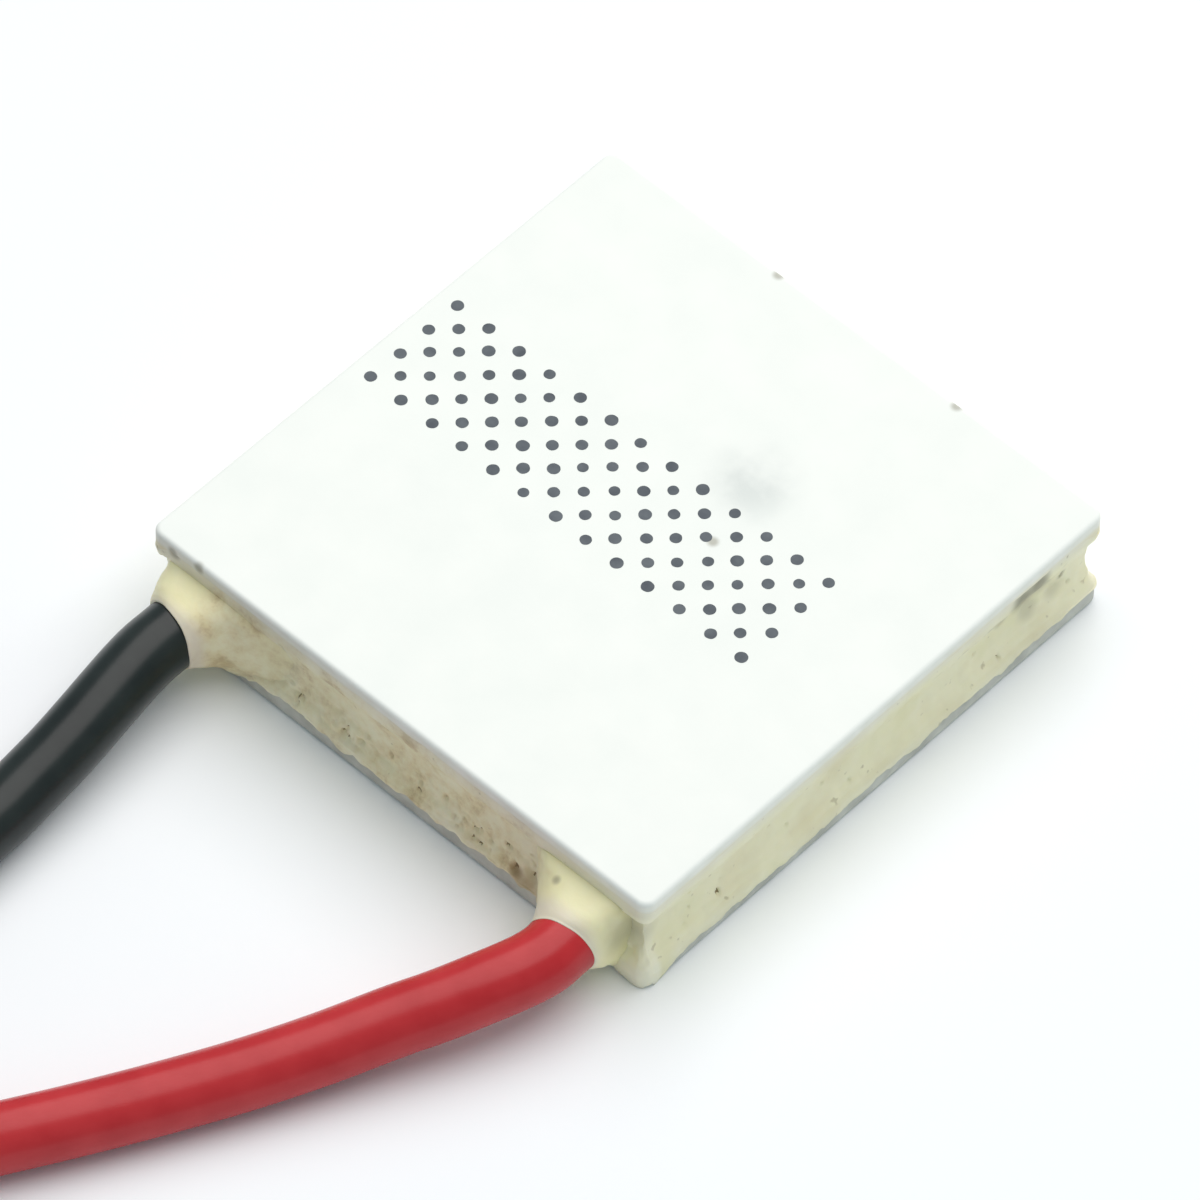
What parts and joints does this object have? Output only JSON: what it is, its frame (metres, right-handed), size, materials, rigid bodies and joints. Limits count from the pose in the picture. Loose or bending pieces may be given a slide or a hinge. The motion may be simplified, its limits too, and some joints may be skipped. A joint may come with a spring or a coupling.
{
  "type": "thermoelectric cooling module",
  "caption": "Square flat heat-pumping module: two ceramic plates with soldered semiconductor couples between them, a sealed edge and two insulated leads.",
  "frame": {"origin": "centre of the lower (hot side) plate's underside", "axes": "+Z from the hot side plate to the cold side plate, -Y towards the side where the leads leave, +X from the black lead to the red lead"},
  "size_m": [0.0339, 0.0414, 0.0033],
  "materials": {
    "alumina": "fired and lapped alumina, matte, slightly rounded rims",
    "copper": "bare copper tabs with light oxide",
    "solder": "reflowed solder, satin",
    "n_type_alloy": "sawn bismuth telluride, dull metallic grey",
    "p_type_alloy": "sawn bismuth telluride, dull metallic grey",
    "sealant": "cured cream sealant, satin, pitted with small bubbles",
    "sealant_dab": "cured pale yellow sealant, smooth satin",
    "tinned_wire": "tinned copper strands",
    "red_pvc": "extruded red PVC, soft gloss",
    "black_pvc": "extruded black PVC, soft gloss"
  },
  "bodies": {
    "root": {"hot_plate": "alumina", "cold_plate": "alumina", "hot_side_tabs": "copper", "cold_side_tabs": "copper", "positive_lead_pad": "copper", "negative_lead_pad": "copper", "hot_side_solder": "solder", "cold_side_solder": "solder", "n_pellet_01": "n_type_alloy", "n_pellet_02": "n_type_alloy", "n_pellet_03": "n_type_alloy", "n_pellet_04": "n_type_alloy", "n_pellet_05": "n_type_alloy", "n_pellet_06": "n_type_alloy", "n_pellet_07": "n_type_alloy", "n_pellet_08": "n_type_alloy", "n_pellet_09": "n_type_alloy", "n_pellet_10": "n_type_alloy", "n_pellet_11": "n_type_alloy", "n_pellet_12": "n_type_alloy", "n_pellet_13": "n_type_alloy", "n_pellet_14": "n_type_alloy", "n_pellet_15": "n_type_alloy", "n_pellet_16": "n_type_alloy", "n_pellet_17": "n_type_alloy", "p_pellet_01": "p_type_alloy", "p_pellet_02": "p_type_alloy", "p_pellet_03": "p_type_alloy", "p_pellet_04": "p_type_alloy", "p_pellet_05": "p_type_alloy", "p_pellet_06": "p_type_alloy", "p_pellet_07": "p_type_alloy", "p_pellet_08": "p_type_alloy", "p_pellet_09": "p_type_alloy", "p_pellet_10": "p_type_alloy", "p_pellet_11": "p_type_alloy", "p_pellet_12": "p_type_alloy", "p_pellet_13": "p_type_alloy", "p_pellet_14": "p_type_alloy", "p_pellet_15": "p_type_alloy", "p_pellet_16": "p_type_alloy", "p_pellet_17": "p_type_alloy", "perimeter_sealant": "sealant", "red_lead_sealant": "sealant_dab", "black_lead_sealant": "sealant_dab", "red_lead_joint": "solder", "black_lead_joint": "solder", "red_lead_conductor": "tinned_wire", "black_lead_conductor": "tinned_wire", "red_lead": "red_pvc", "black_lead": "black_pvc", "red_lead_coil": "red_pvc", "black_lead_coil": "black_pvc", "red_lead_tip": "tinned_wire", "black_lead_tip": "tinned_wire"}
  },
  "joints": []
}
